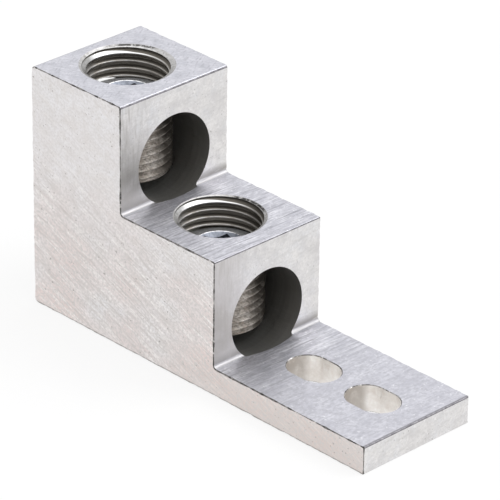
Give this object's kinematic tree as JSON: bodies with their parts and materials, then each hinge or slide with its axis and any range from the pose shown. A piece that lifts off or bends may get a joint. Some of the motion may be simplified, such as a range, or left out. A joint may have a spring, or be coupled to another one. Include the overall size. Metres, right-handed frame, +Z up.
{
  "type": "panelboard lug",
  "caption": "Stepped aluminium panelboard lug with stacked conductor ports, hex-socket set screws that clamp the conductors, and a slotted tongue that bolts to a bus bar.",
  "frame": {"origin": "centre of the base's footprint, on the flat base that seats on the bus bar", "axes": "+X along the lug from the back face with the conductor ports to the end of the slotted tongue, +Y across the lug, +Z up from the base through the set screws"},
  "size_m": [0.0908, 0.0278, 0.051],
  "materials": {
    "extruded_aluminium": "extruded and saw-cut, bright, with drilled ports and tapped holes",
    "screw_aluminium": "cut thread, plated, lightly greased"
  },
  "bodies": {
    "lug": {"lug_body": "extruded_aluminium"},
    "upper_screw": {"upper_set_screw": "screw_aluminium"},
    "lower_screw": {"lower_set_screw": "screw_aluminium"}
  },
  "joints": [
    {"name": "upper_screw_travel", "type": "slide", "parent": "lug", "child": "upper_screw", "axis": [0, 0, 1], "range_m": [0, 0.01588]},
    {"name": "lower_screw_travel", "type": "slide", "parent": "lug", "child": "lower_screw", "axis": [0, 0, 1], "range_m": [0, 0.01588]}
  ]
}
